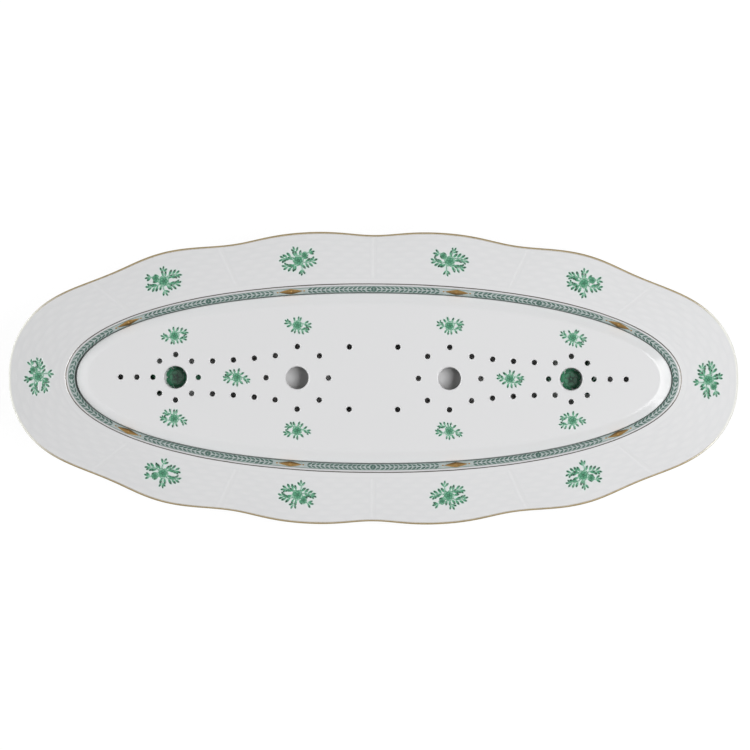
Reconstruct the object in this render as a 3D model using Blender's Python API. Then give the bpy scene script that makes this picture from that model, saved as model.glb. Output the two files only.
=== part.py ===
"""Oval fish platter with a lift-out pierced drainer, both of glazed porcelain.

Metres, +Z up. The origin is on the table under the middle of the platter, and +X runs along its length.
Every section is turned as a round ring first, and then drawn out to its oval plan.
"""

import math

import bmesh
import bpy
from mathutils import Vector
from mathutils.geometry import interpolate_bezier

MM = 0.001

# Platter in plan: the scalloped edge, and the verge, the oval where the rim turns down into the well
EDGE_HALF_LENGTH = 325.0 * MM
EDGE_HALF_WIDTH = 131.4 * MM
EDGE_SQUARENESS = 2.3
VERGE_HALF_LENGTH = 274.5 * MM
VERGE_HALF_WIDTH = 84.0 * MM
VERGE_SQUARENESS = 2.1
# Notches of the edge in the first quadrant: place and half-width in degrees, depth as a share of the radius
EDGE_NOTCHES = ((90.0, 5.6, 0.029), (66.5, 7.4, 0.042), (44.0, 10.3, 0.037))

# Platter in section: heights over the table, and offsets outwards from the verge
RIM_WIDTH = 50.0 * MM
RIM_TOP = 42.0 * MM
RIM_SLOPE = math.radians(10.0)
RIM_FLARE = 1.4
RIM_EDGE_THICKNESS = 3.4 * MM
VERGE_HEIGHT = 32.0 * MM
VERGE_ROUNDING = 4.0 * MM
WALL_SLOPE = math.radians(52.0)
WALL_THICKNESS = 5.2 * MM
WALL_FOOT_HEIGHT = 17.5 * MM
WELL_HEIGHT = 13.0 * MM
WELL_EDGE = -24.0 * MM
WELL_ROUNDING = 5.5 * MM
BASE_HEIGHT = 7.0 * MM
FOOT_RING_OUTER = -29.5 * MM
FOOT_RING_WIDTH = 5.0 * MM
FOOT_RING_FLARE = 3.0 * MM

# Drainer: a flat plate with a turned-down lip, whose bevelled edge rests all round on the wall of the well
DRAINER_OFFSET = -7.2 * MM
DRAINER_THICKNESS = 5.0 * MM
LIP_WIDTH = 12.0 * MM
LIP_FALL = 3.2 * MM
LIP_SLOPE = math.radians(20.0)
LIP_THICKNESS = 3.4 * MM
DRAINER_EDGE_HEIGHT = DRAINER_THICKNESS - LIP_FALL - 0.45 * LIP_THICKNESS
SEAT_GAP = 0.3 * MM

# Piercing: lifting holes on the long axis, each in a ring of drain holes, with rows of drain holes between
LIFT_RADIUS = 10.0 * MM
DRAIN_RADIUS = 2.4 * MM
END_LIFT_X = 176.8 * MM
MID_LIFT_X = 68.1 * MM
END_RING_RADIUS = 20.3 * MM
MID_RING_RADIUS = 27.9 * MM
RING_HOLES = 8
ROW_HOLES = 3
TIP_HOLES = 2
TIP_PITCH = 14.4 * MM
MIDDLE_PAIR_X = 21.7 * MM
LIFT_SIDES = 24
DRAIN_SIDES = 12

PORCELAIN_COLOUR = (0.73, 0.73, 0.745, 1.0)
PORCELAIN_ROUGHNESS = 0.12
TURNING_RADIUS = 100.0 * MM
STEPS = 120


def oval_point(half_length, half_width, squareness, angle):
    """A point of an oval with fuller corners than an ellipse, where its squareness is over 2."""
    along, across = math.cos(angle), math.sin(angle)
    reach = (abs(along) ** squareness + abs(across) ** squareness) ** (-1 / squareness)
    return Vector((half_length * along, half_width * across)) * reach


def edge_point(angle):
    """The scalloped edge in plan, at an angle of the oval."""
    folded = math.degrees(math.atan2(abs(math.sin(angle)), abs(math.cos(angle))))
    point = oval_point(EDGE_HALF_LENGTH, EDGE_HALF_WIDTH, EDGE_SQUARENESS, angle)
    for place, half_width, depth in EDGE_NOTCHES:
        point *= 1 - depth * math.exp(-(((folded - place) / half_width) ** 2))
    return point


def verge_point(offset, angle):
    """The verge in plan, or an oval at an offset outwards from it."""
    return oval_point(VERGE_HALF_LENGTH + offset, VERGE_HALF_WIDTH + offset, VERGE_SQUARENESS, angle)


def platter_plan(offset, angle):
    """Ovals inside the verge, and outside it a blend from the verge to the scalloped edge."""
    if offset <= 0:
        return verge_point(offset, angle)
    return verge_point(0, angle).lerp(edge_point(angle), offset / RIM_WIDTH)


def drainer_plan(offset, angle):
    return verge_point(DRAINER_OFFSET + offset, angle)


def even_angles():
    """Angles of the oval that divide its edge into stretches of about equal length."""
    fine = 20 * STEPS
    lengths = [0.0]
    for i in range(fine):
        middle = 2 * math.pi * (i + 0.5) / fine
        speed = math.hypot(EDGE_HALF_LENGTH * math.sin(middle), EDGE_HALF_WIDTH * math.cos(middle))
        lengths.append(lengths[-1] + speed)
    angles, i = [], 0
    for step in range(STEPS):
        target = lengths[-1] * step / STEPS
        while lengths[i + 1] <= target:
            i += 1
        share = (target - lengths[i]) / (lengths[i + 1] - lengths[i])
        angles.append(2 * math.pi * (i + share) / fine)
    return angles


def direction(slope):
    return Vector((math.cos(slope), math.sin(slope)))


def curve(start, start_handle, end_handle, end, points):
    """Points of a section's curve after its start, up to and with its end."""
    bezier = interpolate_bezier(start, start_handle, end_handle, end, points + 1)
    return [Vector(p[:2]) for p in bezier[1:]]


def platter_section():
    """The platter's section, from the flat of the well over the rim to its base inside the foot ring."""
    wall = direction(WALL_SLOPE)
    outwards = Vector((wall.y, -wall.x)) * WALL_THICKNESS
    verge = Vector((0, VERGE_HEIGHT))
    wall_foot = verge - wall * ((VERGE_HEIGHT - WALL_FOOT_HEIGHT) / wall.y)
    wall_top = verge - wall * VERGE_ROUNDING
    rim_start = verge + direction(RIM_SLOPE) * VERGE_ROUNDING
    rim_end = Vector((RIM_WIDTH - RIM_EDGE_THICKNESS / 3, RIM_TOP))
    edge = Vector((RIM_WIDTH, RIM_TOP - RIM_EDGE_THICKNESS / 2))
    rim_under = Vector((rim_end.x, RIM_TOP - RIM_EDGE_THICKNESS))
    verge_under = rim_start + Vector((VERGE_ROUNDING / 2, -WALL_THICKNESS))
    well_edge = Vector((WELL_EDGE, WELL_HEIGHT))
    ring_top = Vector((FOOT_RING_OUTER + FOOT_RING_FLARE, BASE_HEIGHT))
    flat_run = Vector((1, 0)) * WELL_ROUNDING
    wall_run = wall * WELL_ROUNDING
    rim_out = direction(RIM_SLOPE) * RIM_WIDTH / 4
    edge_out = direction(RIM_SLOPE * RIM_FLARE) * RIM_WIDTH / 4

    points = [well_edge]
    points += curve(well_edge, well_edge + flat_run, wall_foot - wall_run, wall_foot, 3)
    points += [wall_top]
    points += curve(wall_top, verge, verge, rim_start, 2)
    points += curve(rim_start, rim_start + rim_out, rim_end - edge_out, rim_end, 4)
    points += [edge, rim_under]
    points += curve(rim_under, rim_under - edge_out, verge_under + rim_out, verge_under, 3)
    points += [wall_top + outwards, wall_foot + outwards]
    points += curve(points[-1], points[-1] - wall_run, ring_top + flat_run, ring_top, 3)
    points += [
        Vector((FOOT_RING_OUTER, 0)),
        Vector((FOOT_RING_OUTER - FOOT_RING_WIDTH, 0)),
        Vector((FOOT_RING_OUTER - FOOT_RING_WIDTH - FOOT_RING_FLARE, BASE_HEIGHT)),
    ]
    return points


def drainer_section():
    """The drainer's section, from the flat of its upper face over the lip to its flat underside at z = 0."""
    wall = direction(WALL_SLOPE)
    flat_run = Vector((1, 0)) * LIP_WIDTH / 6
    lip_run = direction(-LIP_SLOPE) * LIP_WIDTH / 2
    top = Vector((-LIP_WIDTH, DRAINER_THICKNESS))
    lip_top = Vector((-LIP_THICKNESS / 2, DRAINER_THICKNESS - LIP_FALL))
    edge = Vector((0, DRAINER_EDGE_HEIGHT))
    lip_under = edge - wall * LIP_THICKNESS * 0.6
    under = Vector((-LIP_WIDTH, 0))

    points = [top]
    points += curve(top, top + flat_run, lip_top - lip_run, lip_top, 4)
    points += [edge, lip_under]
    points += curve(lip_under, lip_under - lip_run / 2, under + flat_run, under, 4)
    return points


def drainer_rest_height():
    """The height of the drainer's flat underside when its edge lies on the wall."""
    wall_offset = DRAINER_OFFSET + SEAT_GAP / math.sin(WALL_SLOPE)
    return VERGE_HEIGHT + wall_offset * math.tan(WALL_SLOPE) - DRAINER_EDGE_HEIGHT


def turn_and_draw_out(name, section, plan):
    """A closed solid: a section turned into a ring, capped at both ends, then drawn out to its plan."""
    angles = even_angles()
    mesh = bmesh.new()
    verts = [mesh.verts.new((TURNING_RADIUS + p.x, 0, p.y)) for p in section]
    edges = [mesh.edges.new(pair) for pair in zip(verts, verts[1:])]
    bmesh.ops.spin(
        mesh,
        geom=verts + edges,
        axis=(0, 0, 1),
        angle=2 * math.pi,
        steps=STEPS,
        use_merge=True,
    )
    bmesh.ops.holes_fill(mesh, edges=[e for e in mesh.edges if e.is_boundary])
    for v in mesh.verts:
        step = round(math.atan2(v.co.y, v.co.x) / (2 * math.pi) * STEPS) % STEPS
        offset = math.hypot(v.co.x, v.co.y) - TURNING_RADIUS
        v.co.xy = plan(offset, angles[step])
    bmesh.ops.recalc_face_normals(mesh, faces=mesh.faces)
    return finished(name, mesh)


def finished(name, mesh):
    data = bpy.data.meshes.new(name)
    mesh.to_mesh(data)
    mesh.free()
    data.shade_smooth()
    data.set_sharp_from_angle(angle=math.radians(35))
    obj = bpy.data.objects.new(name, data)
    bpy.context.scene.collection.objects.link(obj)
    return obj


def mirrored(x, y):
    """A place on the drainer and its copies across both axes."""
    return {(sx * x, sy * y) for sx in (1, -1) for sy in (1, -1)}


def ring(centre_x, radius):
    angles = (2 * math.pi * i / RING_HOLES for i in range(RING_HOLES))
    return [(centre_x + radius * math.cos(a), radius * math.sin(a)) for a in angles]


def drain_hole_places():
    """The drain holes of one end, from the tip to the middle, and their copies at the other end."""
    places = ring(END_LIFT_X, END_RING_RADIUS) + ring(MID_LIFT_X, MID_RING_RADIUS)
    tip = END_LIFT_X + END_RING_RADIUS
    places += [(tip + TIP_PITCH * (i + 1), 0.0) for i in range(TIP_HOLES)]
    diagonal = math.sin(math.pi / 4)
    row_start = Vector((END_LIFT_X - END_RING_RADIUS * diagonal, END_RING_RADIUS * diagonal))
    row_end = Vector((MID_LIFT_X + MID_RING_RADIUS * diagonal, MID_RING_RADIUS * diagonal))
    for i in range(ROW_HOLES):
        share = (i + 1) / (ROW_HOLES + 1)
        x = row_start.x + (row_end.x - row_start.x) * share
        places.append((x, row_start.y + (row_end.y - row_start.y) * share**2))
    places.append((MIDDLE_PAIR_X, MID_RING_RADIUS))
    rounded = {(round(px, 7), round(abs(py), 7)) for px, py in places}
    return sorted(set().union(*(mirrored(px, py) for px, py in rounded)))


def piercing_bars(name, holes):
    """Upright round bars through the plate, each (x, y, radius, sides), in one cutter."""
    mesh = bmesh.new()
    for x, y, radius, sides in holes:
        made = bmesh.ops.create_cone(
            mesh,
            cap_ends=True,
            segments=sides,
            radius1=radius,
            radius2=radius,
            depth=3 * DRAINER_THICKNESS,
        )
        bmesh.ops.translate(mesh, verts=made["verts"], vec=(x, y, DRAINER_THICKNESS / 2))
    cutter = finished(name, mesh)
    cutter.hide_render = True
    cutter.display_type = "WIRE"
    return cutter


def glazed_porcelain(name):
    material = bpy.data.materials.new(name)
    material.use_nodes = True
    shader = material.node_tree.nodes["Principled BSDF"]
    shader.inputs["Base Color"].default_value = PORCELAIN_COLOUR
    shader.inputs["Roughness"].default_value = PORCELAIN_ROUGHNESS
    shader.inputs["Metallic"].default_value = 0.0
    return material


def make_platter():
    platter = turn_and_draw_out("platter", platter_section(), platter_plan)
    platter.data.materials.append(glazed_porcelain("platter_porcelain"))
    return platter


def make_drainer():
    drainer = turn_and_draw_out("drainer", drainer_section(), drainer_plan)
    drainer.data.materials.append(glazed_porcelain("drainer_porcelain"))
    drainer.location.z = drainer_rest_height()

    lift_places = [(side * x, 0.0) for x in (END_LIFT_X, MID_LIFT_X) for side in (1, -1)]
    holes = [(x, y, LIFT_RADIUS, LIFT_SIDES) for x, y in lift_places]
    holes += [(x, y, DRAIN_RADIUS, DRAIN_SIDES) for x, y in drain_hole_places()]
    cutter = piercing_bars("drainer_piercing", holes)
    cutter.parent = drainer
    piercing = drainer.modifiers.new("piercing", "BOOLEAN")
    piercing.operation = "DIFFERENCE"
    piercing.object = cutter
    return drainer


def main():
    for obj in list(bpy.data.objects):
        bpy.data.objects.remove(obj)
    whole = bpy.data.objects.new("fish_platter", None)
    bpy.context.scene.collection.objects.link(whole)
    for piece in (make_platter(), make_drainer()):
        piece.parent = whole


main()
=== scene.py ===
import math
import random

import bmesh
import bpy
from mathutils import Matrix, Vector
from mathutils.bvhtree import BVHTree
from mathutils.geometry import interpolate_bezier


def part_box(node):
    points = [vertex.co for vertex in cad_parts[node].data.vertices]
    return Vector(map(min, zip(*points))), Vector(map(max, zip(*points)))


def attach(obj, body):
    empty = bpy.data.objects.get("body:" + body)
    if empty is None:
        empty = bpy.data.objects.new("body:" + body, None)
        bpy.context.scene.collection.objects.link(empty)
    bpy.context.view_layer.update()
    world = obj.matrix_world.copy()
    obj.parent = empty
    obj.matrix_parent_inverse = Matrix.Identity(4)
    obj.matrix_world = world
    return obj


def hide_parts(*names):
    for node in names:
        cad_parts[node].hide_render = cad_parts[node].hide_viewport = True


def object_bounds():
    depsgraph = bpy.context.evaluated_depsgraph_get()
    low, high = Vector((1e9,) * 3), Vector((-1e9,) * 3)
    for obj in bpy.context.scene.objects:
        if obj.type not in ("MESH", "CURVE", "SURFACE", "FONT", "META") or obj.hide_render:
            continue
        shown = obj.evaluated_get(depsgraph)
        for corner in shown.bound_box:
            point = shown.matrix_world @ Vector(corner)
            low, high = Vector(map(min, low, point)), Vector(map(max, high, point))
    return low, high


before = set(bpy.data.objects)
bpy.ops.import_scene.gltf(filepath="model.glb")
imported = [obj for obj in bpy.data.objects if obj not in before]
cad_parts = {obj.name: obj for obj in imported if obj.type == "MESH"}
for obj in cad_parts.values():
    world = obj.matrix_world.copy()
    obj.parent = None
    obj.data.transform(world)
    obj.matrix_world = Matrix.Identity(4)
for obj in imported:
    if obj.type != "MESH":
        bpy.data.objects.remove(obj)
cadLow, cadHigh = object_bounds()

mm = 0.001
scene = bpy.context.scene
print("frame loaded:", sorted(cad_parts))


# A shader socket that takes part in Python sums: each operator adds one Math node

class Wire:
    def __init__(self, finish, socket):
        self.finish = finish
        self.socket = socket

    def maths(self, operation, first, second):
        return self.finish.node("ShaderNodeMath", {"operation": operation}, {0: first, 1: second})[0]

    def __add__(self, other):
        return self.maths("ADD", self, other)

    def __sub__(self, other):
        return self.maths("SUBTRACT", self, other)

    def __rsub__(self, other):
        return self.maths("SUBTRACT", other, self)

    def __mul__(self, other):
        return self.maths("MULTIPLY", self, other)

    __radd__ = __add__
    __rmul__ = __mul__

    def atMost(self, other):
        return self.maths("MINIMUM", self, other)

    def atLeast(self, other):
        return self.maths("MAXIMUM", self, other)

    def size(self):
        return self.maths("ABSOLUTE", self, 0.0)

    def rise(self, low, high):  # 0 below low, 1 above high, smooth between
        limits = {"Value": self, "From Min": low, "From Max": high}
        return self.finish.node("ShaderNodeMapRange", {"interpolation_type": "SMOOTHSTEP"}, limits)[0]


class Finish:
    def __init__(self, name, world=False):
        self.data = bpy.data.worlds.new(name) if world else bpy.data.materials.new(name)
        self.data.use_nodes = True
        self.tree = self.data.node_tree
        self.tree.nodes.clear()

    def node(self, kind, settings=None, inputs=None):
        made = self.tree.nodes.new(kind)
        for key, value in (settings or {}).items():
            setattr(made, key, value)
        for key, value in (inputs or {}).items():
            if isinstance(value, Wire):
                self.tree.links.new(value.socket, made.inputs[key])
            else:
                made.inputs[key].default_value = value
        return [Wire(self, out) for out in made.outputs]

    def mixColour(self, factor, first, second):
        settings = {"data_type": "RGBA", "blend_type": "MIX", "clamp_factor": True}
        return self.node("ShaderNodeMix", settings, {0: factor, 6: first, 7: second})[2]

    def attribute(self, name):
        return self.node("ShaderNodeAttribute", {"attribute_name": name})[2]

    def place(self):  # Object coordinates
        return self.node("ShaderNodeTexCoord")[3]

    def axis(self, index):
        return self.node("ShaderNodeSeparateXYZ", None, {0: self.place()})[index]

    def grain(self, scale, detail=2.0, roughness=0.5):  # soft noise from 0 to 1 over the piece itself
        inputs = {"Vector": self.place(), "Scale": scale, "Detail": detail, "Roughness": roughness}
        return self.node("ShaderNodeTexNoise", {"noise_dimensions": "3D"}, inputs)[0]

    def bump(self, height, distance):
        inputs = {"Height": height, "Distance": distance, "Strength": 1.0}
        return self.node("ShaderNodeBump", None, inputs)[0]

    def surface(self, inputs):
        shader = self.node("ShaderNodeBsdfPrincipled", None, inputs)[0]
        self.node("ShaderNodeOutputMaterial", None, {"Surface": shader})
        return self.data


# Plan of the platter: a scalloped edge round a plain oval verge

oval = {
    "halfLength": (cadHigh.x - cadLow.x) / 2,
    "halfWidth": 131.37 * mm,  # of the oval that the lobes touch
    "squareness": 2.3,
    "vergeLength": 274.5 * mm,
    "vergeWidth": 84.0 * mm,
    "vergeSquareness": 2.1,
    "rimWidth": 50.0 * mm,
    "notches": (  # place and half width in degrees, depth as a share of the reach
        (90.0, 5.6, 0.029), (66.5, 7.4, 0.042), (44.0, 10.3, 0.037),
    ),
}


def squaredPoint(length, width, power, angle):
    along, across = math.cos(angle), math.sin(angle)
    reach = (abs(along) ** power + abs(across) ** power) ** (-1 / power)
    return Vector((length * along, width * across)) * reach


def edgePoint(angle):
    folded = math.degrees(math.atan2(abs(math.sin(angle)), abs(math.cos(angle))))
    point = squaredPoint(oval["halfLength"], oval["halfWidth"], oval["squareness"], angle)
    for place, halfWidth, depth in oval["notches"]:
        point *= 1 - depth * math.exp(-(((folded - place) / halfWidth) ** 2))
    return point


def ovalPoint(offset, angle):
    length, width = oval["vergeLength"] + offset, oval["vergeWidth"] + offset
    return squaredPoint(length, width, oval["vergeSquareness"], angle)


def planPoint(offset, angle):
    if offset <= 0:
        return ovalPoint(offset, angle)
    return ovalPoint(0, angle).lerp(edgePoint(angle), offset / oval["rimWidth"])


def arcSpeed(angle, offset):  # metres of arc for each radian
    step = 1e-3
    return (ovalPoint(offset, angle + step) - ovalPoint(offset, angle - step)).length / (2 * step)


def spreadAngles(count, offset, extra=None):  # (angle, arc length) of even steps, closer where extra asks
    fine = 6000
    turn = 2 * math.pi
    sums, arcs = [0.0], [0.0]
    for i in range(fine):
        middle = turn * (i + 0.5) / fine
        speed = arcSpeed(middle, offset)
        arcs.append(arcs[-1] + speed * turn / fine)
        sums.append(sums[-1] + speed * (1 + extra(middle) if extra else 1))
    made, i = [], 0
    for step in range(count):
        target = sums[-1] * step / count
        while sums[i + 1] <= target:
            i += 1
        share = (target - sums[i]) / (sums[i + 1] - sums[i])
        made.append((turn * (i + share) / fine, arcs[i] + (arcs[i + 1] - arcs[i]) * share))
    return made, arcs[-1]


def slopeRun(slope):
    return Vector((math.cos(slope), math.sin(slope)))


def curve(start, startHandle, endHandle, end, points):
    return [Vector(p[:2]) for p in interpolate_bezier(start, startHandle, endHandle, end, points + 1)[1:]]


def between(low, high, value):  # smooth step
    share = min(max((value - low) / (high - low), 0), 1)
    return share * share * (3 - 2 * share)


def finishMesh(name, mesh, material, sharp=40):
    data = bpy.data.meshes.new(name)
    mesh.to_mesh(data)
    mesh.free()
    data.materials.append(material)
    data.shade_smooth()
    data.set_sharp_from_angle(angle=math.radians(sharp))
    piece = bpy.data.objects.new(name, data)
    scene.collection.objects.link(piece)
    print(f"{name}: {len(data.polygons)} faces")
    return piece


# Glazes, enamels and gilding

glaze = {
    "white": (0.735, 0.736, 0.742, 1),
    "drift": 0.972,  # share of the white where the firing left it darkest
    "poolAndShade": (0.695, 0.699, 0.707, 1),  # where the glaze gathers in the relief, and painted shade in its hollows
    "biscuitAndShade": (0.60, 0.575, 0.53, 1),  # the bare body under the foot ring and the drainer; under the drainer its darker tone is also painted shade
    "roughness": 0.14,
    "skin": 160.0,  # fineness of the slight unevenness of the glaze
    "skinRoughness": 0.05,
    "skinDepth": 0.03 * mm,
    "scoured": 0.3,  # roughness added in the well, where use has dulled the glaze
    "scouredFrom": (-16.0, -9.0),  # mm outwards from the verge
    "footRoughness": 0.62,
    "bareRoughness": 0.5,  # added under the drainer
    "ior": 1.5,
}
sprayGreens = {
    "deep": (0.004, 0.040, 0.020, 1),
    "leaf": (0.070, 0.305, 0.165, 1),
    "pale": (0.41, 0.62, 0.505, 1),
    "wash": (0.52, 0.69, 0.61, 1),
}
garlandGreens = {
    "deep": (0.024, 0.062, 0.050, 1),
    "leaf": (0.085, 0.178, 0.145, 1),
    "pale": (0.29, 0.40, 0.37, 1),
    "wash": (0.52, 0.59, 0.58, 1),
}
gilt = {
    "bright": (0.36, 0.22, 0.08, 1),
    "edge": (0.315, 0.245, 0.128, 1),
    "verge": (0.092, 0.083, 0.072, 1),
    "wornAndSheen": (0.80, 0.803, 0.748, 1),  # what hands have left of the edge's gold at the ends, paler than the glaze as a painted highlight
    "brushed": 0.55,  # how much the brushing shows
    "thick": 0.5,  # share of the gold's tone where it lies thickest
    "roughness": 0.26,
    "skin": 300.0,
    "skinRoughness": 0.12,
    "skinDepth": 0.05 * mm,
}


def darker(colour, share):
    return tuple(part * share for part in colour[:3]) + (1,)


def glazeColour(finish):
    drift = finish.grain(9.0, 3.0)  # the firing's slow drift in tone
    return finish.mixColour(drift, glaze["white"], darker(glaze["white"], glaze["drift"]))


def giltColour(finish, gold):  # brushed on unevenly
    brush = finish.grain(420.0, 3.0, 0.65).rise(0.40, 0.78)
    return finish.mixColour(brush * gilt["brushed"], gold, darker(gold, gilt["thick"]))


band = {  # the painted band on the wall, mm outwards from the verge
    "verge": {"middle": 0.2, "half": 0.44},
    "outer": {"middle": -2.0, "half": 0.3},
    # the dark inner line is a band line and painted shade in the crevice by the drainer's edge
    "inner": {"middle": -7.45, "half": 0.4},
    "outerCover": 0.75,  # how much of the glaze each line or wash hides
    "innerShadeCover": 0.7,
    "washCover": 0.9,
    "mottled": 0.55,
    "soft": (0.1, 0.12),  # blur within and beyond the edge of a line
    "waver": 0.4,  # how far the painter's hand strays, counted from one side to the other
    "gilding": (47.4, 49.0),  # the edge's gold thins inwards
    "wornSheenEnds": (0.272, 0.318),  # m from the middle, where hands lift it and the gold is worn, and where a painted highlight lies
    "wornSheenWaver": 0.02,
}


def platterFinish():
    finish = Finish("platterGlaze")
    across = finish.attribute("across")  # mm outwards from the verge
    relief = finish.attribute("relief")
    foot = finish.attribute("foot")
    hand = finish.grain(55.0) - 0.5  # the painter's hand
    brushed = across + hand * band["waver"]
    within, beyond = band["soft"]

    def past(line):
        return brushed.rise(line["middle"] - within, line["middle"] + within)

    def drawn(line):
        away = (brushed - line["middle"]).size()
        return 1 - away.rise(line["half"] - within, line["half"] + beyond)

    # pooled glaze and painted shade darken the weave's hollows
    colour = finish.mixColour(relief, glaze["poolAndShade"], glazeColour(finish))
    washed = past(band["inner"]) * (1 - past(band["outer"]))
    mottle = finish.grain(310.0, 3.0, 0.6).rise(0.30, 0.72)
    wash = finish.mixColour(mottle * band["mottled"], garlandGreens["wash"], garlandGreens["pale"])
    colour = finish.mixColour(washed * band["washCover"], colour, wash)
    colour = finish.mixColour(drawn(band["outer"]) * band["outerCover"], colour, garlandGreens["leaf"])
    # the dark inner line: a band line, and painted shade in the crevice under the drainer's edge
    colour = finish.mixColour(drawn(band["inner"]) * band["innerShadeCover"], colour, garlandGreens["deep"])
    # at both ends the edge's gold gives way to pale cream: wear, and a painted highlight
    wornSheenEnds = (finish.axis(0) + hand * band["wornSheenWaver"]).size().rise(*band["wornSheenEnds"])
    edge = brushed.rise(*band["gilding"])
    verge = drawn(band["verge"])
    gold = (edge * (1 - wornSheenEnds)).atLeast(verge)
    edgeColour = finish.mixColour(wornSheenEnds, giltColour(finish, gilt["edge"]), gilt["wornAndSheen"])
    colour = finish.mixColour(edge, colour, edgeColour)
    colour = finish.mixColour(verge, colour, giltColour(finish, gilt["verge"]))
    colour = finish.mixColour(foot, colour, glaze["biscuitAndShade"])
    skin = finish.grain(glaze["skin"])
    scoured = (1 - across.rise(*glaze["scouredFrom"])) * glaze["scoured"]
    glazed = glaze["roughness"] + skin * glaze["skinRoughness"] + scoured
    gilded = gilt["roughness"] + skin * gilt["skinRoughness"]
    roughness = glazed * (1 - gold) + gold * gilded
    return finish.surface(
        {
            "Base Color": colour,
            "Roughness": roughness.atLeast(foot * glaze["footRoughness"]),
            "Metallic": gold,
            "Normal": finish.bump(skin, glaze["skinDepth"]),
            "IOR": glaze["ior"],
        }
    )


def drainerFinish():
    finish = Finish("drainerGlaze")
    skin = finish.grain(glaze["skin"])
    # the bare underside: biscuit, and painted shade under the drainer
    glazed = (finish.axis(2) - drainerBottom).rise(*drainer["glazedFrom"])
    bare = (1 - glazed) * glaze["bareRoughness"]
    return finish.surface(
        {
            "Base Color": finish.mixColour(glazed, glaze["biscuitAndShade"], glazeColour(finish)),
            "Roughness": glaze["roughness"] + skin * glaze["skinRoughness"] + bare,
            "Normal": finish.bump(skin, glaze["skinDepth"]),
            "IOR": glaze["ior"],
        }
    )


enamel = {
    "flow": 520.0,  # fineness of the pooling
    "leafFrom": (0.02, 0.42),  # thickness at which the pale tone turns to the leaf's
    "deepFrom": (0.50, 1.0),  # and the leaf's to the deepest
    "ebbFrom": (0.25, 0.95),  # how a wash runs out to white
    "washFrom": (-0.05, -0.02),  # depth at which a stroke gives way to its wash
    "flowRoughness": 0.1,
}


def enamelFinish(name, greens):
    finish = Finish(name)
    depth = finish.attribute("depth")  # 1 on outlines, 0 in a stroke's middle, -1 where a wash runs out
    tone = finish.attribute("tone")
    flow = finish.grain(enamel["flow"], 3.0, 0.6)
    thick = depth * 0.9 + flow * 0.3 + tone * 0.3 - 0.2
    colour = finish.mixColour(thick.rise(*enamel["leafFrom"]), greens["pale"], greens["leaf"])
    colour = finish.mixColour(thick.rise(*enamel["deepFrom"]), colour, greens["deep"])
    ebb = flow * 0.5 - depth - 0.25
    wash = finish.mixColour(ebb.rise(*enamel["ebbFrom"]), greens["wash"], glaze["white"])
    colour = finish.mixColour(depth.rise(*enamel["washFrom"]), wash, colour)
    return finish.surface(
        {
            "Base Color": colour,
            "Roughness": glaze["roughness"] + flow * enamel["flowRoughness"],
            "Normal": finish.bump(flow, glaze["skinDepth"]),
            "IOR": glaze["ior"],
        }
    )


def giltFinish():
    finish = Finish("gilding")
    skin = finish.grain(gilt["skin"], 3.0)
    return finish.surface(
        {
            "Base Color": giltColour(finish, gilt["bright"]),
            "Metallic": 1.0,
            "Roughness": gilt["roughness"] + skin * gilt["skinRoughness"],
            "Normal": finish.bump(skin, gilt["skinDepth"]),
        }
    )


# Platter: one section, spun round and drawn out to the scalloped oval

platter = {
    "rimTop": cadHigh.z - 0.02 * mm,
    "rimSlope": math.radians(10),
    "rimFlare": 1.4,
    "edgeThickness": 3.4 * mm,
    "edgeRounding": (0.75 * mm, 0.95 * mm),  # outwards and up
    "vergeHeight": 32.0 * mm,
    "vergeRounding": 4.0 * mm,
    "wallSlope": math.radians(52),
    "wallThickness": 5.2 * mm,
    "wallFoot": 17.5 * mm,
    "wellHeight": 13.0 * mm,
    "wellEdge": -24.0 * mm,
    "wellRounding": 5.5 * mm,
    "baseHeight": 7.0 * mm,
    "ringOuter": -29.5 * mm,
    "ringWidth": 5.0 * mm,
    "ringFlare": 3.0 * mm,
    "ringSpread": 0.5 * mm,  # of the ring's foot, over its ground face
    "ringInset": 0.3 * mm,
    "ringEase": 0.8 * mm,
    "steps": 900,
    "weaveSpan": (5.0, 47.5),  # mm outwards from the verge
    "weaveRows": 8,
    "weaveSamples": 6,
    "weaveFade": 0.05,  # share of the span over which it starts and ends
    "stakes": 150,
    "strandRoundness": 0.75,
    "weaveHeight": 0.18 * mm,
    "hollowTone": 0.25,  # how white its hollows stay under the pooled glaze and painted shade
    "ribs": (40.0, 64.5, 90.0),  # degrees, in the first quadrant
    "ribHeight": 0.3 * mm,
    "ribWidth": 1.5 * mm,
    "ribClear": (2.2 * mm, 4.5 * mm),  # where the weave begins beside a rib
    "ribSteps": (2.5, 4.0 * mm),  # extra steps near a rib, and how near
}
underside = -200.0  # stands for mm outwards from the verge below the edge

quarters = ((0, 1), (math.pi, -1), (math.pi, 1), (2 * math.pi, -1))
firstRibs = [math.radians(degrees) for degrees in platter["ribs"]]
ribAngles = sorted({round(abs(turn + side * rib), 6) for rib in firstRibs for turn, side in quarters})
ribSpeeds = [arcSpeed(rib, oval["rimWidth"] / 2) for rib in ribAngles]


def ribDistance(angle):
    return min(abs(angle - rib) * speed for rib, speed in zip(ribAngles, ribSpeeds))


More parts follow.
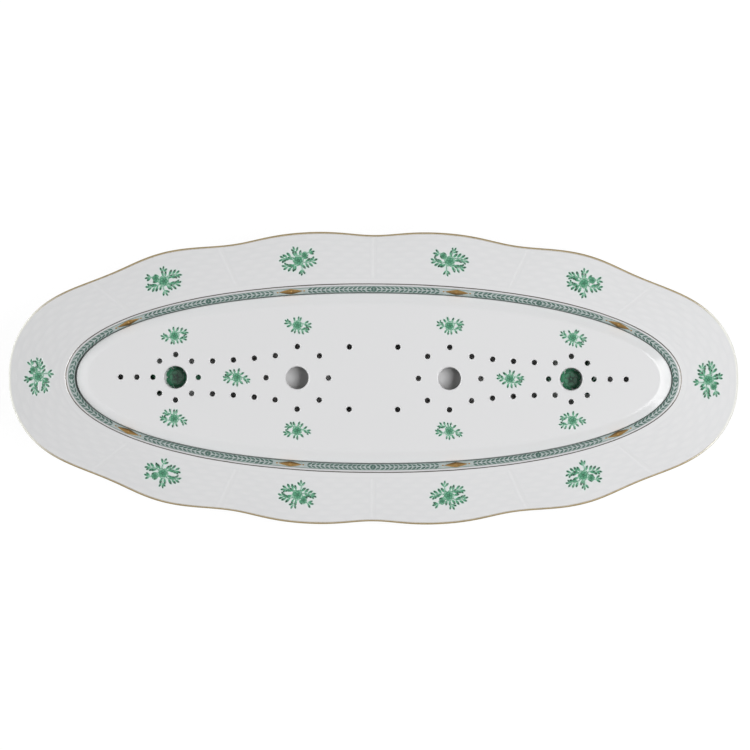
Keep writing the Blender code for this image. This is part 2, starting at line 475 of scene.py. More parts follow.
# From the well's middle over the rim to the base: point, mm outwards from the verge, 1 on the ground foot
def platterSection():
    p = platter
    wall = slopeRun(p["wallSlope"])
    outwards = Vector((wall.y, -wall.x)) * p["wallThickness"]
    verge = Vector((0, p["vergeHeight"]))
    wallFoot = verge - wall * ((p["vergeHeight"] - p["wallFoot"]) / wall.y)
    wallTop = verge - wall * p["vergeRounding"]
    rimStart = verge + slopeRun(p["rimSlope"]) * p["vergeRounding"]
    rimEnd = Vector((oval["rimWidth"] - p["edgeThickness"] / 3, p["rimTop"]))
    edge = Vector((oval["rimWidth"], p["rimTop"] - p["edgeThickness"] / 2))
    rimUnder = Vector((rimEnd.x, p["rimTop"] - p["edgeThickness"]))
    vergeUnder = rimStart + Vector((p["vergeRounding"] / 2, -p["wallThickness"]))
    wellEdge = Vector((p["wellEdge"], p["wellHeight"]))
    ringTop = Vector((p["ringOuter"] + p["ringFlare"], p["baseHeight"]))
    flatRun = Vector((p["wellRounding"], 0))
    wallRun = wall * p["wellRounding"]
    rimOut = slopeRun(p["rimSlope"]) * oval["rimWidth"] / 4
    edgeOut = slopeRun(p["rimSlope"] * p["rimFlare"]) * oval["rimWidth"] / 4
    roundOut, roundUp = Vector((p["edgeRounding"][0], 0)), Vector((0, p["edgeRounding"][1]))

    top = [wellEdge - flatRun / 2, wellEdge]
    top += curve(wellEdge, wellEdge + flatRun, wallFoot - wallRun, wallFoot, 6)
    top += [wallFoot.lerp(wallTop, i / 4) for i in range(1, 5)]
    top += curve(wallTop, verge, verge, rimStart, 6)
    top += curve(rimStart, rimStart + rimOut, rimEnd - edgeOut, rimEnd, p["weaveRows"] * p["weaveSamples"])
    top += curve(rimEnd, rimEnd + roundOut, edge + roundUp, edge, 4)
    under = curve(edge, edge - roundUp, rimUnder + roundOut, rimUnder, 3)
    under += curve(rimUnder, rimUnder - edgeOut, vergeUnder + rimOut, vergeUnder, 6)
    under += [wallTop + outwards, wallFoot + outwards]
    under += curve(under[-1], under[-1] - wallRun, ringTop + flatRun, ringTop, 6)
    ringIn = p["ringOuter"] - p["ringWidth"]
    spread, inset, ease = p["ringSpread"], p["ringInset"], p["ringEase"]
    ring = [Vector((p["ringOuter"] + spread, ease)), Vector((p["ringOuter"] - inset, 0))]
    ring += [Vector((ringIn + inset, 0)), Vector((ringIn - spread, ease))]
    base = [Vector((ringIn - part * p["ringFlare"], p["baseHeight"])) for part in (1, 3)]
    section = [(point, point.x / mm, 0.0) for point in top]
    section += [(point, underside, 0.0) for point in under]
    section += [(point, underside, 1.0 if point.y == 0 else 0.0) for point in ring]
    return section + [(point, underside, 0.0) for point in base]


def weave(across, arc, angle, length):  # height of the moulded basket weave and its ribs over the plain rim
    start, end = platter["weaveSpan"]
    share = (across - start) / (end - start)
    if not 0 < share < 1:
        return 0.0
    row = share * platter["weaveRows"]
    strand = math.sin(math.pi * (row % 1)) ** platter["strandRoundness"]
    stake = arc / length * platter["stakes"]
    lift = 0.55 + 0.45 * math.cos(math.pi * (stake + math.floor(row)))
    apart = ribDistance(angle)
    fade = between(0, platter["weaveFade"], share) * between(0, platter["weaveFade"], 1 - share)
    rib = math.exp(-((apart / platter["ribWidth"]) ** 2)) * platter["ribHeight"]
    return fade * (rib + platter["weaveHeight"] * strand * lift * between(*platter["ribClear"], apart))


def makePlatter():
    mesh = bmesh.new()
    acrossLayer = mesh.verts.layers.float.new("across")
    footLayer = mesh.verts.layers.float.new("foot")
    reliefLayer = mesh.verts.layers.float.new("relief")
    spinRadius = 0.1
    steps = platter["steps"]
    weaveStart, weaveEnd = platter["weaveSpan"]
    closest, near = platter["ribSteps"]
    drawn = []
    for point, across, foot in platterSection():
        vert = mesh.verts.new((spinRadius + point.x, 0, point.y))
        vert[acrossLayer], vert[footLayer] = across, foot
        drawn.append(vert)
    edges = [mesh.edges.new(pair) for pair in zip(drawn, drawn[1:])]
    bmesh.ops.spin(mesh, geom=drawn + edges, axis=(0, 0, 1), angle=math.pi / 2, steps=steps // 4)
    for axis in ("X", "Y"):
        quarter = mesh.verts[:] + mesh.edges[:] + mesh.faces[:]
        bmesh.ops.mirror(mesh, geom=quarter, axis=axis, merge_dist=0.001 * mm)
    bmesh.ops.holes_fill(mesh, edges=[e for e in mesh.edges if e.is_boundary])

    def closer(angle):
        return closest * math.exp(-((ribDistance(angle) / near) ** 2))

    angles, length = spreadAngles(steps, oval["rimWidth"] / 2, closer)
    edgePoints = [edgePoint(angle) for angle, arc in angles]
    for vert in mesh.verts:
        step = round(math.atan2(vert.co.y, vert.co.x) / (2 * math.pi) * steps) % steps
        angle, arc = angles[step]
        offset = math.hypot(vert.co.x, vert.co.y) - spinRadius
        if offset <= 0:
            vert.co.xy = ovalPoint(offset, angle)
        else:
            vert.co.xy = ovalPoint(0, angle).lerp(edgePoints[step], offset / oval["rimWidth"])
        height = weave(vert[acrossLayer], arc, angle, length)
        vert.co.z += height
        moulded = weaveStart < vert[acrossLayer] < weaveEnd
        # lowest in the weave's hollows, where the pooled glaze and painted shade lie
        relief = min(platter["hollowTone"] + height / platter["weaveHeight"], 1)
        vert[reliefLayer] = relief if moulded else 1.0
    bmesh.ops.recalc_face_normals(mesh, faces=mesh.faces)
    ground = BVHTree.FromBMesh(mesh)
    return finishMesh("platterBody", mesh, platterFinish()), ground


# Drainer: a flat oval with a turned-down lip, pierced with round-lipped holes

drainer = {
    "offset": -7.2 * mm,
    "thickness": 5.0 * mm,
    "lipWidth": 12.0 * mm,
    "lipFall": 3.2 * mm,
    "lipSlope": math.radians(20),
    "lipThickness": 3.4 * mm,
    "browDrop": 1.1 * mm,  # from the lip's top to the upright side of the edge
    "browRounding": (0.8 * mm, 0.6 * mm),
    "seatGap": 0.9 * mm,  # open above the seat, between the edge and the wall
    "seatRounding": 0.3 * mm,
    "flatMargin": 2 * mm,  # flat strip inside the lip, above and below
    "glazedFrom": (0.1 * mm, 0.4 * mm),  # above the bare underside, whose darker tone is also painted shade under the drainer
    "shortfall": 0.8 * mm,  # the left end was trimmed a little short
    "shortFrom": (232 * mm, 262 * mm),
    "steps": 360,
    "sharp": 50,
    "liftRadius": 10.0 * mm,
    "liftRounding": 1.5 * mm,
    "liftSides": 64,
    "drainRadius": 2.4 * mm,
    "drainRounding": 0.8 * mm,
    "drainSides": 24,
    "holeMargin": 0.6 * mm,  # flat strip round a hole
    "endLift": 176.8 * mm,
    "midLift": 68.1 * mm,
    "endRing": 20.3 * mm,
    "midRing": 27.9 * mm,
    "tipPitch": 14.4 * mm,
    "middlePair": 21.7 * mm,
}
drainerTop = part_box("drainer")[1][2]
drainerBottom = drainerTop - drainer["thickness"]


def drainPlaces():
    d = drainer
    places = []
    for centre, radius in ((d["endLift"], d["endRing"]), (d["midLift"], d["midRing"])):
        turns = [math.pi / 4 * i for i in range(8)]
        places += [(centre + radius * math.cos(a), radius * math.sin(a)) for a in turns]
    tip = d["endLift"] + d["endRing"]
    places += [(tip + d["tipPitch"] * i, 0.0) for i in (1, 2)]
    slant = math.sin(math.pi / 4)
    start = Vector((d["endLift"] - d["endRing"] * slant, d["endRing"] * slant))
    end = Vector((d["midLift"] + d["midRing"] * slant, d["midRing"] * slant))
    for share in (0.25, 0.5, 0.75):
        places.append((start.x + (end.x - start.x) * share, start.y + (end.y - start.y) * share**2))
    places.append((d["middlePair"], d["midRing"]))
    apart = {(round(x, 6), round(abs(y), 6)) for x, y in places}
    return sorted({(sx * x, sy * y) for x, y in apart for sx in (1, -1) for sy in (1, -1)})


def drainerSection():  # from the flat of the upper face over the lip to the flat underside
    d = drainer
    flatRun = Vector((d["lipWidth"] / 6, 0))
    lipOut = slopeRun(-d["lipSlope"])
    lipRun = lipOut * d["lipWidth"] / 2
    wall = slopeRun(platter["wallSlope"])
    top = Vector((-d["lipWidth"], drainerTop))
    lipTop = Vector((-d["lipThickness"] / 2, drainerTop - d["lipFall"]))
    edge = Vector((0, lipTop.y - 0.45 * d["lipThickness"]))
    lipUnder = edge - wall * d["lipThickness"] * 0.6
    seat = edge - wall * (d["seatGap"] / wall.x)  # where the ground side of the edge meets the wall
    seatRun = wall * d["seatRounding"]
    brow = Vector((seat.x, lipTop.y - d["browDrop"]))
    browOut, browUp = d["browRounding"]
    under = Vector((-d["lipWidth"], drainerBottom))
    section = [top]
    section += curve(top, top + flatRun, lipTop - lipRun, lipTop, 12)
    section += curve(lipTop, lipTop + lipOut * browOut, brow + Vector((0, browUp)), brow, 6)
    section += curve(brow, brow, seat, seat, 2)
    section += curve(seat, seat - seatRun, lipUnder + seatRun, lipUnder, 3)
    section += curve(lipUnder, lipUnder - lipRun / 2, under + flatRun, under, 8)
    section.append(under - Vector((d["flatMargin"], 0)))
    return section


def holeRings(radius, rounding):  # (radius, height) from the flat top through the hole to the underside
    lip = []
    for turn in [math.pi / 2 * i / 5 for i in range(6)]:
        drop = rounding * (1 - math.cos(turn))
        lip.append((radius + rounding * (1 - math.sin(turn)), drainerTop - drop))
    lower = [(r, drainerBottom + drainerTop - z) for r, z in reversed(lip)]
    return lip + lower + [(radius + rounding + drainer["holeMargin"], drainerBottom)]


def pullLoop(mesh, edges, moved):  # extrudes a loop of edges and gives each new vertex its place
    made = bmesh.ops.extrude_edge_only(mesh, edges=edges)
    fresh = [e for e in made["geom"] if isinstance(e, bmesh.types.BMEdge)]
    verts = [v for v in made["geom"] if isinstance(v, bmesh.types.BMVert)]
    ends = set(verts)
    loop = [e for e in fresh if all(v in ends for v in e.verts)]
    for vert in verts:
        vert.co = moved(vert.co)
    return loop


def loopOf(verts):
    return list({e for v in verts for e in v.link_edges})


def makeDrainer():
    mesh = bmesh.new()
    d = drainer
    made = bmesh.ops.create_circle(mesh, segments=d["steps"], radius=1)["verts"]
    for vert, (angle, arc) in zip(made, spreadAngles(d["steps"], d["offset"])[0]):
        place = ovalPoint(d["offset"] - d["lipWidth"] - d["flatMargin"], angle)
        vert.co = (place.x, place.y, drainerTop)
    outerLoop = loopOf(made)

    lifts = [(side * x, 0.0) for x in (d["endLift"], d["midLift"]) for side in (1, -1)]
    holes = [(x, y, d["liftRadius"], d["liftRounding"], d["liftSides"]) for x, y in lifts]
    holes += [(x, y, d["drainRadius"], d["drainRounding"], d["drainSides"]) for x, y in drainPlaces()]
    holeLoops = []
    for x, y, radius, rounding, sides in holes:
        at = Matrix.Translation((x, y, drainerTop))
        wide = radius + rounding + d["holeMargin"]
        ring = bmesh.ops.create_circle(mesh, segments=sides, radius=wide, matrix=at)["verts"]
        holeLoops.append(loopOf(ring))
    bmesh.ops.triangle_fill(mesh, use_beauty=True, edges=mesh.edges[:], normal=(0, 0, 1))

    for (x, y, radius, rounding, sides), loop in zip(holes, holeLoops):
        for wide, height in holeRings(radius, rounding):
            def moved(co, wide=wide, height=height):
                out = (co.xy - Vector((x, y))).normalized() * wide
                return Vector((x + out.x, y + out.y, height))
            loop = pullLoop(mesh, loop, moved)

    lengthIn = oval["vergeLength"] + d["offset"]
    widthIn = oval["vergeWidth"] + d["offset"]
    last = -d["lipWidth"] - d["flatMargin"]
    loop = outerLoop
    for point in drainerSection():
        def moved(co, offset=point.x, height=point.y, before=last):
            angle = math.atan2(co.y / (widthIn + before), co.x / (lengthIn + before))
            place = ovalPoint(d["offset"] + offset, angle)
            return Vector((place.x, place.y, height))
        loop = pullLoop(mesh, loop, moved)
        last = point.x

    bottom = [e for e in mesh.edges if e.is_boundary]
    bmesh.ops.triangle_fill(mesh, use_beauty=True, edges=bottom, normal=(0, 0, -1))
    for vert in mesh.verts:
        vert.co.x += d["shortfall"] * between(*d["shortFrom"], -vert.co.x)
    bmesh.ops.recalc_face_normals(mesh, faces=mesh.faces)
    ground = BVHTree.FromBMesh(mesh)
    return finishMesh("drainerBody", mesh, drainerFinish(), d["sharp"]), ground


# Painted work: each stroke is a thin raised skin of enamel or gold, laid on the glaze

paint = {
    "skin": 0.08 * mm,  # thickness of a stroke
    "border": 0.3 * mm,  # width of its darker outline
    "crown": 0.03 * mm,  # rise of its middle
    "sharp": 80,
    "halo": (  # steps out of the wash: width, rise, depth
        (0.1 * mm, -0.01 * mm, -0.1),
        (1.7 * mm, -0.12 * mm, -1.0),
    ),
    "plainDepths": ((0.7, 0.1), (0.95, 0.95)),  # middle and outline, each from its start to its tip
    "leafDepths": ((-0.01, 1.2), (0.0, 1.6)),
    "petalDepths": ((0.85, 0.1), (1.1, 1.0)),
    "plainCurve": (0.8, 0.8),  # over 1 is widest near the tip, under 1 is blunt
    "leafCurve": (1.5, 0.55),
    "petalCurve": (1.5, 0.7, 0.10),  # and the depth of its notch
    "petalBorder": 0.5 * mm,
    "stemDepth": 0.85,
    "stemWash": 1.3,  # width of a stem's wash against that of other strokes
}


def bladeShape(length, width, belly, plump, notch=0.0):  # outline of a leaf, or of a notched petal
    def shape(turn):
        along = 0.5 + 0.5 * math.cos(turn)
        half = width / 2 * math.sin(math.pi * min(along, 0.999) ** belly) ** plump
        nick = notch * length * math.exp(-((turn / 0.45) ** 2))
        return (length * along - nick, math.copysign(half, math.sin(turn)))
    return shape


class Strokes:
    def __init__(self, lift):
        self.lift = lift
        self.kept = bmesh.new()
        self.start()

    def start(self):
        self.mesh = bmesh.new()
        self.depth = self.mesh.verts.layers.float.new("depth")
        self.tone = self.mesh.verts.layers.float.new("tone")
        self.rise = self.mesh.verts.layers.float.new("rise")

    def keep(self):  # sets one motif aside, so that the next one's operators work on a small mesh
        data = bpy.data.meshes.new("motif")
        self.mesh.to_mesh(data)
        self.mesh.free()
        self.kept.from_mesh(data)
        bpy.data.meshes.remove(data)
        self.start()

    def touch(self, verts, rise, depth, tone):
        for vert in verts:
            vert[self.rise], vert[self.depth], vert[self.tone] = rise, depth, tone

    def halo(self, outline, middle, reach, tone):  # the pale wash round a stroke, running out to white
        loop, made = outline, []
        for step, rise, depth in paint["halo"]:
            grow = [1 + step / part for part in reach]

            def moved(co):
                x, y = [middle[axis] + (co[axis] - middle[axis]) * grow[axis] for axis in (0, 1)]
                return Vector((x, y, 0.0))

            loop = pullLoop(self.mesh, loop, moved)
            reach = [part + step for part in reach]
            verts = list(dict.fromkeys(v for e in loop for v in e.verts))
            self.touch(verts, rise, depth, tone)
            made += verts
        return made

    def blade(self, place, shape, sides, border, crown, tone, depths, base=0.0, washed=False):
        mesh = self.mesh
        made = bmesh.ops.create_circle(mesh, cap_ends=True, segments=sides, radius=1)["verts"]
        for vert in made:
            vert.co.xy = shape(math.atan2(vert.co.y, vert.co.x))
        faces = [made[0].link_faces[0]]
        outline = faces[0].edges[:]
        middle = faces[0].calc_center_bounds()
        reach = [max(abs(v.co[axis] - middle[axis]) for v in made) for axis in (0, 1)]
        bmesh.ops.inset_individual(mesh, faces=faces, thickness=0)
        shrink = [max(1 - border / part, 0.3) for part in reach]
        filled = faces[0].verts[:]
        bmesh.ops.scale(mesh, vec=(*shrink, 1), verts=filled, space=Matrix.Translation(-middle))
        heart = bmesh.ops.poke(mesh, faces=faces)["verts"]
        inner, outer = depths
        for verts, rise, (near, far) in ((filled, 0.8, inner), (made, 0.0, outer), (heart, 1.0, inner)):
            for vert in verts:
                share = (vert.co.x - middle.x + reach[0]) / (2 * reach[0])
                self.touch([vert], base + crown * rise, near + (far - near) * share, tone)
        if washed:
            made += self.halo(outline, middle, reach, tone)
        bmesh.ops.transform(mesh, matrix=place, verts=made + filled + heart)

    def leaf(self, place, length, width, tone):
        shape = bladeShape(length, width, *paint["plainCurve"])
        self.blade(place, shape, 8, paint["border"], paint["crown"], tone, paint["plainDepths"])

    def brushed(self, place, length, width, tone):  # a leaf from one stroke, darkest where the brush lifts
        shape = bladeShape(length, width, *paint["leafCurve"])
        border, crown, depths = paint["border"], paint["crown"], paint["leafDepths"]
        self.blade(place, shape, 12, border, crown, tone, depths, washed=True)

    def petal(self, place, length, width, tone, base, washed):
        shape = bladeShape(length, width, *paint["petalCurve"])
        border, crown, depths = paint["petalBorder"], paint["crown"], paint["petalDepths"]
        self.blade(place, shape, 16, border, crown, tone, depths, base, washed)

    def dot(self, place, radius, tone, sides, border=0.25, crown=paint["crown"], base=0.0):
        def shape(turn):
            return (radius * math.cos(turn), radius * math.sin(turn))
        self.blade(place, shape, sides, radius * border, crown, tone, paint["plainDepths"], base)

    def stem(self, place, points, width, tone):  # a tapering line along a Bezier curve, with its wash
        made = bmesh.ops.create_grid(self.mesh, x_segments=14, y_segments=6, size=1)["verts"]
        start, startHandle, endHandle, end = [Vector(p) for p in points]
        legs = (startHandle - start, endHandle - startHandle, end - endHandle)
        nearStep, farStep = paint["halo"]
        for vert in made:
            t, row = (vert.co.x + 1) / 2, round(3 * vert.co.y)
            s = 1 - t
            spot = s**3 * start + 3 * s * s * t * startHandle + 3 * s * t * t * endHandle + t**3 * end
            run = s * s * legs[0] + 2 * s * t * legs[1] + t * t * legs[2]
            half = width / 2 * (1 - 0.5 * t)
            wash = half + nearStep[0]
            reach = (0.0, half, wash, wash + paint["stemWash"] * farStep[0])[abs(row)]
            rise = (paint["crown"] * 0.6, 0.0, nearStep[1], farStep[1])[abs(row)]
            depth = (paint["stemDepth"], paint["stemDepth"], nearStep[2], farStep[2])[abs(row)]
            self.touch([vert], rise, depth, tone)
            out = run.normalized().orthogonal() * math.copysign(reach, row)
            vert.co = (spot.x + out.x, spot.y + out.y, 0)
        bmesh.ops.transform(self.mesh, matrix=place, verts=made)

    def lay(self, name, ground, material):  # sets every stroke down on the surface and closes it underneath
        mesh = self.kept
        rise = mesh.verts.layers.float["rise"]
        for vert in mesh.verts:
            spot, normal = ground.find_nearest(vert.co)[:2]
            vert.co = spot + normal * (self.lift + vert[rise])
        mesh.normal_update()
        bmesh.ops.reverse_faces(mesh, faces=[face for face in mesh.faces if face.normal.z < 0])
        bmesh.ops.solidify(mesh, geom=mesh.faces[:], thickness=paint["skin"])
        return finishMesh(name, mesh, material, paint["sharp"])


def turned(angle, x=0.0, y=0.0):
    return Matrix.Translation((x, y, 0)) @ Matrix.Rotation(angle, 4, "Z")


upperSection = [point for point, across, foot in platterSection() if across > underside]


def sectionHeight(offset):
    for low, high in zip(upperSection, upperSection[1:]):
        if low.x <= offset <= high.x and high.x > low.x:
            return low.y + (high.y - low.y) * (offset - low.x) / (high.x - low.x)
    return platter["wellHeight"]


def onPlatter(angle, offset):  # a frame on the platter: x along the rim, y outwards, z off the surface
    step, turn = 0.5 * mm, 1e-4
    here = planPoint(offset, angle)
    ahead = planPoint(offset, angle + turn)
    out = planPoint(offset + step, angle)
    along = Vector((ahead.x - here.x, ahead.y - here.y, 0)).normalized()
    height = sectionHeight(offset)
    up = Vector((out.x - here.x, out.y - here.y, sectionHeight(offset + step) - height))
    up = (up - along * up.dot(along)).normalized()
    off = along.cross(up)
    return Matrix.Translation((here.x, here.y, height)) @ Matrix((along, up, off)).transposed().to_4x4()


spray = {  # a posy: one or two double five-petalled flowers amid bending leafy stems
    "petals": 5,
    "rings": ((5.5 * mm, 5.4 * mm), (3.4 * mm, 3.4 * mm)),  # length and width of the outer and inner petals
    "ringRise": 0.05 * mm,  # of each ring over the one below
    "petalStart": 0.5 * mm,  # from the flower's middle
    "eye": 1.0 * mm,
    "leaf": (6.4 * mm, 2.4 * mm),
    "pitch": 3.6 * mm,
    "spread": 38,  # degrees between a leaf and its stem
    "stemWidth": 0.4 * mm,
    "stemTone": 0.8,
    "tuftStart": 4.2 * mm,
    "large": {
        "blooms": ((0, 0, 1.0), (-7.0, 5.2, 0.64)),  # mm, mm, share of the full size
        "stems": (  # start in mm, direction in degrees, length in mm, bend in degrees, pairs of leaves
            (2, 2, 30, 12.5, -50, 3), (1, -2, -46, 11.5, 58, 3), (-3, -1, 204, 11.5, -44, 3),
            (1, 3, 94, 7.0, -28, 1), (-2, -3, 250, 7.5, 34, 1), (-7, 5.5, 146, 5.5, 30, 1),
        ),
        "tufts": (8, 62, 84, 122, 160, 226, 290, 318),  # degrees of the leaves behind the flower
    },
    "small": {
        "blooms": ((0, 0, 1.05),),
        "stems": ((2, 1, 30, 10, -52, 2), (1, -2, -50, 9, 60, 2), (-2, 0, 192, 9.5, -48, 2)),
        "tufts": (64, 92, 124, 226, 258, 290),
    },
}


def paintSpray(strokes, place, size, dice, kind, shade):
    leafLength, leafWidth = [part * size for part in spray["leaf"]]

    def leafAt(spot, turn, grown):
        tone = shade + dice.uniform(0.0, 0.6)
        leaf = place @ turned(turn, *spot)
        strokes.brushed(leaf, leafLength * grown, leafWidth * grown, tone)

    for degrees in kind["tufts"]:
        turn = math.radians(degrees + dice.uniform(-8, 8))
        lean = turn + dice.uniform(-0.25, 0.25)
        leafAt(slopeRun(turn) * spray["tuftStart"] * size, lean, dice.uniform(0.95, 1.15))
    for x, y, degrees, length, bend, pairs in kind["stems"]:
        aim = math.radians(degrees + dice.uniform(-7, 7))
        swing = aim + math.radians(bend)
        reach = length * mm * size
        start = Vector((x, y)) * mm * size
        end = start + slopeRun((aim + swing) / 2) * reach
        points = (start, start + slopeRun(aim) * reach * 0.4, end - slopeRun(swing) * reach * 0.4, end)
        strokes.stem(place, points, spray["stemWidth"], spray["stemTone"])
        path = interpolate_bezier(*points, 21)
        for i in range(pairs):
            step = round(20 * (1 - (i + 0.3) * spray["pitch"] / (length * mm)))
            run = path[step] - path[step - 1]
            heading = math.atan2(run[1], run[0])
            for hand in (1, -1):
                turn = heading + hand * math.radians(spray["spread"] + dice.uniform(-8, 8))
                leafAt(path[step][:2], turn, 0.9 + 0.1 * i)
        leafAt(end, swing, 0.85)
    for x, y, share in kind["blooms"]:
        full = share * size
        bloom = place @ turned(dice.uniform(0.1, 0.5), x * mm * size, y * mm * size)
        for ring, (length, width) in enumerate(spray["rings"]):
            for i in range(spray["petals"]):
                turn = 2 * math.pi / spray["petals"] * (i + ring / 2) + dice.uniform(-0.06, 0.06)
                petal = bloom @ turned(turn) @ Matrix.Translation((spray["petalStart"] * full, 0, 0))
                tone = shade + dice.uniform(0.0, 0.3) + 0.2 * ring
                strokes.petal(petal, length * full, width * full, tone, ring * spray["ringRise"], ring == 0)
        over = len(spray["rings"]) * spray["ringRise"]
        strokes.dot(bloom, spray["eye"] * full, shade + 0.9, 12, 0.4, base=over)
    strokes.keep()


def paintSprays(name, sprays, places, ground, green):
    strokes = Strokes(sprays["lift"])
    for i, place in enumerate(places):
        dice = random.Random(sprays["seed"] + i)
        paintSpray(strokes, place, sprays["size"], dice, spray[sprays["kind"]], sprays["shade"])
    return strokes.lay(name, ground, green)


def flatPlaces(sprays, height):
    places = []
    for x, y, degrees in sprays["places"]:
        places.append(Matrix.Translation((x * mm, y * mm, height)) @ turned(math.radians(degrees)))
    return places


rimSprays = {
    "across": 24.0 * mm,
    "lobes": (  # degrees, and -1 where the spray is drawn mirrored
        (0, 1), (52, 1), (77, -1), (103, 1), (128, -1),
        (180, 1), (232, 1), (257, -1), (283, 1), (308, -1),
    ),
    "kind": "large",
    "size": 0.88,
    "shade": 0.0,
    "lift": 0.14 * mm,  # off the glaze
    "seed": 20,
}
wellSprays = {
    "places": ((176.8, 0, 12), (-176.8, 0, 192)),  # mm, mm, degrees
    "kind": "small",
    "size": 1.6,
    "shade": 0.7,
    "lift": 0.10 * mm,
    "seed": 50,
}
bedSprays = {
    "places": (
        (122, 0, 0), (-122, 0, 180), (68, 47, 5), (-68, 47, -5), (68, -47, 175), (-68, -47, 185),
        (178, 37, -12), (-178, 37, 12), (178, -37, 192), (-178, -37, 168),
    ),
    "kind": "small",
    "size": 0.75,
    "shade": 0.0,
    "lift": 0.10 * mm,
    "seed": 80,
}


def paintRim(ground, green):
    places = []
    for degrees, hand in rimSprays["lobes"]:
        place = onPlatter(math.radians(degrees), rimSprays["across"])
        places.append(place @ Matrix.Diagonal((hand, 1, 1, 1)))
    return paintSprays("rimSprays", rimSprays, places, ground, green)


def paintWell(ground, green):
    places = flatPlaces(wellSprays, platter["wellHeight"])
    return paintSprays("wellSprays", wellSprays, places, ground, green)


def paintBed(ground, green):
    places = flatPlaces(bedSprays, drainerTop)
    return paintSprays("bedSprays", bedSprays, places, ground, green)


garland = {  # a running laurel between gilt lozenges
    "across": -4.5 * mm,
    "lift": 0.05 * mm,  # off the glaze
    "knots": 8,
    "knotHalf": 14.0 * mm,
    "lozenge": (10.5 * mm, 3.7 * mm),
    "lozengeBow": 1.65,
    "lozengeBorder": 0.8 * mm,
    "lozengeCrown": 0.3 * mm,
    "boss": 1.7 * mm,  # the bead on each lozenge
    "bossCrown": 0.75 * mm,
    "pearl": 0.9 * mm,  # the bead at each of its ends
    "pearlCrown": 0.4 * mm,
    "pearlInset": 2.2 * mm,
    "beadBorder": 0.35,
    "pairs": 15,
    "leafLength": 5.1 * mm,
    "leafWidth": 2.2 * mm,
    "leafStart": 0.5 * mm,  # from the stem's line
    "spread": 38,
    "bud": 1.1 * mm,  # where two laurels meet
    "budInset": 1.2 * mm,
}


def paintGarland(ground, green, gold):
    g = garland
    leaves, knots = Strokes(g["lift"]), Strokes(g["lift"])
    dice = random.Random(7)
    spots, length = spreadAngles(4000, g["across"])

    def spotAt(arc):
        angle = spots[round(arc / length * len(spots)) % len(spots)][0]
        return onPlatter(angle, g["across"])

    def lozenge(turn):
        parts = zip(g["lozenge"], (math.cos(turn), math.sin(turn)))
        return [math.copysign(half * abs(share) ** g["lozengeBow"], share) for half, share in parts]

    def bead(place, radius, crown, sides):
        knots.dot(place, radius, 0.0, sides, g["beadBorder"], crown)

    span = length / g["knots"]
    run = span / 2 - g["knotHalf"]
    border, crown = g["lozengeBorder"], g["lozengeCrown"]
    for k in range(g["knots"]):
        knot = span * (k + 0.5)
        knots.blade(spotAt(knot), lozenge, 28, border, crown, 0.0, paint["plainDepths"])
        bead(spotAt(knot), g["boss"], g["bossCrown"], 16)
        for side in (1, -1):
            pearlSpot = spotAt(knot + side * (g["knotHalf"] - g["pearlInset"]))
            bead(pearlSpot, g["pearl"], g["pearlCrown"], 12)
            lean = 0 if side > 0 else math.pi
            for i in range(g["pairs"]):
                spot = spotAt(knot + side * (g["knotHalf"] + run * (i + 0.35) / g["pairs"]))
                for hand in (1, -1):
                    turn = lean + hand * side * math.radians(g["spread"] + dice.uniform(-5, 5))
                    leaf = spot @ Matrix.Translation((0, hand * g["leafStart"], 0)) @ turned(turn)
                    size = dice.uniform(0.92, 1.06)
                    tone = dice.uniform(0.1, 0.9)
                    leaves.leaf(leaf, g["leafLength"] * size, g["leafWidth"] * size, tone)
            leaves.dot(spotAt(knot + side * (span / 2 - g["budInset"])), g["bud"], 0.7, 8)
        leaves.keep()
        knots.keep()
    return leaves.lay("garlandLeaves", ground, green), knots.lay("garlandKnots", ground, gold)


platterBody, platterGround = makePlatter()
drainerBody, drainerGround = makeDrainer()
sprayEnamel = enamelFinish("sprayEnamel", sprayGreens)
garlandEnamel = enamelFinish("garlandEnamel", garlandGreens)
rimPaint = paintRim(platterGround, sprayEnamel)
wellPaint = paintWell(platterGround, sprayEnamel)
garlandLeaves, garlandKnots = paintGarland(platterGround, garlandEnamel, giltFinish())
bedPaint = paintBed(drainerGround, sprayEnamel)

for piece in (platterBody, rimPaint, wellPaint, garlandLeaves, garlandKnots):
    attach(piece, "platter")
for piece in (drainerBody, bedPaint):
    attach(piece, "drainer")
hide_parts("platter")
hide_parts("drainer")
print("pieces ride on their bodies")


# Stage: a pale table, a broad low lamp on the left and a smaller, higher one on the right

stage = {
    "tableSize": 16.0,
    "cloth": ((0.90, 0.90, 0.90, 1), (0.88, 0.88, 0.88, 1)),
    "white": (1, 1, 1, 1),
    "glow": 0.86,  # share of the table's own white in what the camera sees of it
    "glowLevel": 1.06,
    "ambient": 0.07,
    "aim": (0, 0, 0.03),
    "left": {"place": (-3.53, 0.15, 1.91), "size": (5.0, 2.14), "power": 149.0},
    "right": {"place": (1.61, -0.12, 2.18), "size": (2.75, 1.15), "power": 60.5},
}


def seenFactor(finish):  # 1 for rays from the camera, mirrors and glass
    path = finish.node("ShaderNodeLightPath")
    return (path[0] + path[3] + path[6]).atMost(1.0)


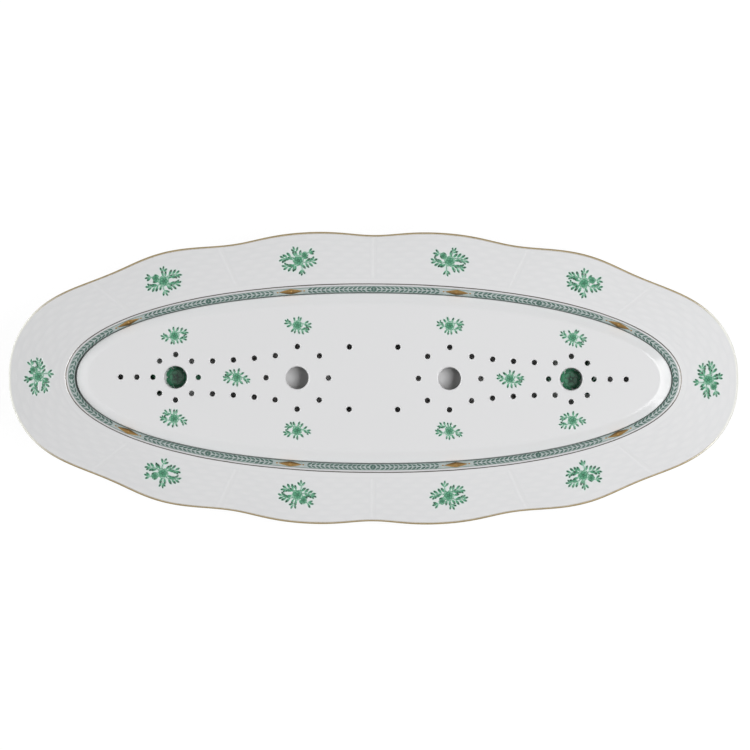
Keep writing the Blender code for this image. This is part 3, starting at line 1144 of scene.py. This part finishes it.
def makeTable():
    mesh = bmesh.new()
    bmesh.ops.create_grid(mesh, x_segments=1, y_segments=1, size=stage["tableSize"] / 2)
    bmesh.ops.translate(mesh, verts=mesh.verts, vec=(0, 0, cadLow.z))
    finish = Finish("paleTable")
    tone = finish.mixColour(finish.grain(3.0), *stage["cloth"])
    matte = finish.node("ShaderNodeBsdfDiffuse", None, {"Color": tone})[0]
    white = {"Color": stage["white"], "Strength": stage["glowLevel"]}
    glow = finish.node("ShaderNodeEmission", None, white)[0]
    seen = seenFactor(finish) * stage["glow"]
    both = finish.node("ShaderNodeMixShader", None, {0: seen, 1: matte, 2: glow})[0]
    finish.node("ShaderNodeOutputMaterial", None, {"Surface": both})
    return finishMesh("table", mesh, finish.data)


def makeWorld():
    finish = Finish("studio", world=True)
    strength = seenFactor(finish) * (1.0 - stage["ambient"]) + stage["ambient"]
    light = finish.node("ShaderNodeBackground", None, {"Color": stage["white"], "Strength": strength})[0]
    finish.node("ShaderNodeOutputWorld", None, {"Surface": light})
    scene.world = finish.data


def addLamp(name, place, size, power):
    lamp = bpy.data.lights.new(name, "AREA")
    lamp.shape = "RECTANGLE"
    lamp.size, lamp.size_y = size
    lamp.energy = power
    holder = bpy.data.objects.new(name, lamp)
    holder.location = place
    holder.rotation_euler = (Vector(stage["aim"]) - Vector(place)).to_track_quat("-Z", "Y").to_euler()
    holder.visible_camera = False
    scene.collection.objects.link(holder)


view = {  # the photograph's frame is 750 pixels square, and the platter fills 730 of them
    "frame": 750,
    "across": 730,
    "centre": (373.5, 378.2),
    "roll": math.radians(0.27),
    "distance": 4.0,
    "sensor": 36.0,
    "farthest": 100.0,
}


def makeCamera():  # straight above
    perPixel = (cadHigh.x - cadLow.x) / view["across"]
    half = view["frame"] / 2
    shiftX = (half - view["centre"][0]) * perPixel
    shiftY = (view["centre"][1] - half) * perPixel
    lens = bpy.data.cameras.new("above")
    lens.sensor_width = view["sensor"]
    lens.lens = view["sensor"] * view["distance"] / (perPixel * view["frame"])
    lens.clip_end = view["farthest"]
    camera = bpy.data.objects.new("above", lens)
    camera.location = (shiftX, shiftY, cadHigh.z + view["distance"])
    camera.rotation_euler = (0, 0, view["roll"])
    scene.collection.objects.link(camera)
    scene.camera = camera


makeTable()
makeWorld()
addLamp("leftLamp", **stage["left"])
addLamp("rightLamp", **stage["right"])
makeCamera()
scene.view_settings.view_transform = "Standard"
print("stage and camera set")
